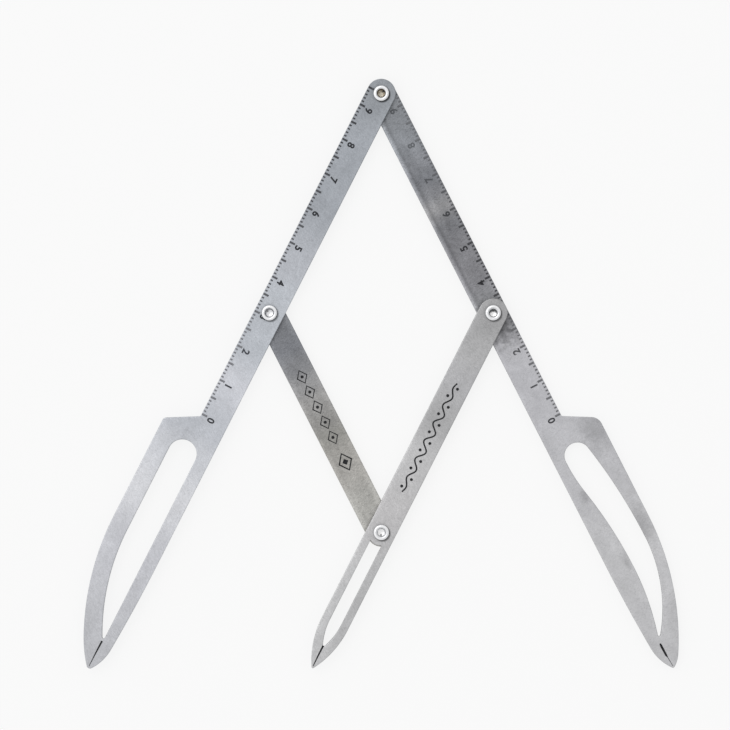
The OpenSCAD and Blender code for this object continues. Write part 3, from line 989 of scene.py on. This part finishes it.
def nickel(name, hinge, hollow):
    # bright plating; the hollow is greyer and dirtier, with a painted light spot and painted shade
    # in it, and the foot of the rolled end carries painted shade, most of all on its lower right
    look = plating
    material, tree = newMaterial(name + "_nickel")
    source = node(tree, "ShaderNodeTexCoord").outputs["Object"]
    centred = node(tree, "ShaderNodeMapping", {
        "Vector": source, "Scale": (1000, 1000, 0),
        "Location": (-hinge.x, -hinge.y, 0)}).outputs[0]

    def beyond(centre, inner, outer, ragged=0.0):
        # nought within inner of a place and one beyond outer, in mm
        return spot(tree, centred, (*centre, 0), (1, 1, 0), inner, outer, 0.0, ragged)

    dirt = noise(tree, centred, "hollowDirt", -hollow["blotches"], hollow["blotches"])
    # a painted light spot in the hollow, with painted shade around it over the dirty tone
    shadow = beyond(hollow["lightAt"], *(hollow["size"] + rim for rim in look["lightRim"]), dirt)
    hollowShadeAndDirt = blend(tree, shadow, tone(*hollow["light"]), tone(*hollow["dark"]))
    speckX, speckY, speckRadius, speckTone = hollow["speck"]
    speck = beyond((speckX, speckY), *(speckRadius + rim for rim in look["speckRim"]))
    hollowShadeAndDirt = blend(tree, speck, tone(speckTone), hollowShadeAndDirt)
    smudge = noise(tree, centred, "smudges")
    plain = blend(tree, smudge, *(tone(*face) for face in look["faces"]))
    # painted grey shade on the lip of the rolled ring
    bright = blend(tree, beyond((0, 0), *look["lipRadii"]), tone(*look["lip"]), plain)
    # painted shade on the foot of the rolled ring, darkest at its lower right
    side = vectorCalc(tree, "DOT_PRODUCT", centred, look["footWay"])
    foot = blend(tree, spread(tree, side, *look["footTurn"]), *(tone(*end) for end in look["foot"]))
    rolled = blend(tree, beyond((0, 0), *look["footRadii"]), bright, foot)
    reach, rim = hollow["radius"], look["hollowRim"]
    colour = blend(tree, beyond((0, 0), reach - rim, reach + rim), hollowShadeAndDirt, rolled)
    height = node(tree, "ShaderNodeSeparateXYZ", {"Vector": source}).outputs["Z"]
    colour = blend(tree, spread(tree, height, *look["frontFrom"]), plain, colour)
    rough = noise(tree, source, "rivetPolish", *look["roughness"])
    surface(tree, colour, rough, smudge, look["relief"])
    return material


pattern = addObject("rivet_pattern", turnedMesh("rivet_pattern", rivetProfile()))
tree = rivetTree()
for number, (name, (body, hinge)) in enumerate(rivetHinges.items()):
    finish = nickel(name, hinge, rivetHollows[name])
    mesh = grow(name + "_turned", tree, {
        "rivet": pattern, "hinge": (hinge.x, hinge.y, 0), "turn": rivet["turnEach"] * number,
        "finish": finish}, Matrix.Diagonal((mm, mm, mm, 1)))
    piece = addPiece(name + "_nickel", mesh, body, finish)
    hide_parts(name)
bpy.data.objects.remove(pattern)

washerLook = {"tones": ((150, 150, 152), (104, 104, 108)), "roughness": 0.5,
              "relief": (0.3, 0.00003)}


def washerSteel():
    material, tree = newMaterial("washer_steel")
    source = node(tree, "ShaderNodeTexCoord").outputs["Object"]
    stain = noise(tree, source, "washerStain")
    colour = blend(tree, stain, *(tone(*end) for end in washerLook["tones"]))
    surface(tree, colour, washerLook["roughness"], stain, washerLook["relief"])
    return material


washerFinish = washerSteel()
for name in ("top_washer", "left_washer", "right_washer", "centre_washer"):
    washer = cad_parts[name]
    washer.data.materials.clear()
    washer.data.materials.append(washerFinish)
print("rivets set")


studio = {
    "floorSize": 6.0,
    "floorMatte": 0.9,
    "white": 0.97,              # the floor and the backdrop, as they are seen
    "floorShadowShare": 0.14,   # how much of the floor's own shading is seen
    "brightSide": 1.08,         # soft light from the upper left
    "dimSide": 0.6,             # and from the lower right
    "lean": (-0.8, 0.6, 0.0),   # towards the bright side
    "backdropShare": 0.35,      # how much of the plain white backdrop the metal shows
    "keyPlace": (-0.42, 0.42, 1.05),    # metres from what it aims at
    "keyAim": (-4.3, -70.4),            # mm
    "keySize": 0.75,
    "keyRadiance": 1.3,
}


def grey(share):
    return [share] * 3 + [1.0]


def whiteStage():
    material, tree = newMaterial("white_stage")
    path = node(tree, "ShaderNodeLightPath").outputs
    matte = node(tree, "ShaderNodeBsdfDiffuse", {"Color": grey(studio["floorMatte"])})
    white = node(tree, "ShaderNodeEmission", {"Color": grey(studio["white"]), "Strength": 1.0})
    seen = calc(tree, "MAXIMUM", path["Is Camera Ray"], path["Is Glossy Ray"])
    share = times(tree, seen, 1 - studio["floorShadowShare"])
    mix = node(tree, "ShaderNodeMixShader", {0: share, 1: matte.outputs[0], 2: white.outputs[0]})
    node(tree, "ShaderNodeOutputMaterial", {"Surface": mix.outputs[0]})
    return material


half = studio["floorSize"] / 2
floorMesh = bpy.data.meshes.new("floor")
floorMesh.from_pydata([(-half, -half, 0), (half, -half, 0), (half, half, 0), (-half, half, 0)],
                      [], [(0, 1, 2, 3)])
floorMesh.materials.append(whiteStage())
floor = addObject("floor", floorMesh)

scene = bpy.context.scene
world = bpy.data.worlds.new("studio")
scene.world = world
world.use_nodes = True
air = world.node_tree
air.nodes.clear()
path = node(air, "ShaderNodeLightPath").outputs
direction = node(air, "ShaderNodeTexCoord").outputs["Generated"]
level = spread(air, vectorCalc(air, "DOT_PRODUCT", direction, studio["lean"]), -1.0, 1.0,
               studio["dimSide"], studio["brightSide"])
soft = node(air, "ShaderNodeBackground", {"Color": grey(1.0), "Strength": level})
backdrop = node(air, "ShaderNodeBackground", {"Color": grey(studio["white"]), "Strength": 1.0})
glossy = times(air, path["Is Glossy Ray"], studio["backdropShare"])
seen = calc(air, "MAXIMUM", path["Is Camera Ray"], glossy)
both = node(air, "ShaderNodeMixShader", {0: seen, 1: soft.outputs[0], 2: backdrop.outputs[0]})
node(air, "ShaderNodeOutputWorld", {"Surface": both.outputs[0]})

aim = Vector((*studio["keyAim"], 0)) * mm
light = bpy.data.lights.new("key", "AREA")
light.shape = "DISK"
light.size = studio["keySize"]
light.energy = studio["keyRadiance"] * math.pi * math.pi * (studio["keySize"] / 2) ** 2
lamp = addObject("key", light)
lamp.location = aim + Vector(studio["keyPlace"])
lamp.rotation_euler = (aim - lamp.location).to_track_quat("-Z", "Y").to_euler()

view = {
    "middle": (-4.21, -70.33),   # mm, what the picture's centre looks at
    "width": 189.0,              # mm across the picture
    "height": 1000.0,            # mm above the bars
    "barLevel": 3.0,             # mm, the bars above the floor
    "roll": -0.015,              # degrees
    "sensor": 36.0,
}
camera = bpy.data.cameras.new("camera")
camera.sensor_width = view["sensor"]
camera.lens = view["sensor"] * view["height"] / view["width"]
camera.clip_start, camera.clip_end = 0.01, 20.0
eye = addObject("camera", camera)
eye.location = Vector((*view["middle"], view["height"] + view["barLevel"])) * mm
eye.rotation_euler = (0, 0, math.radians(view["roll"]))
scene.camera = eye
scene.view_settings.view_transform = "Standard"
print("studio ready")
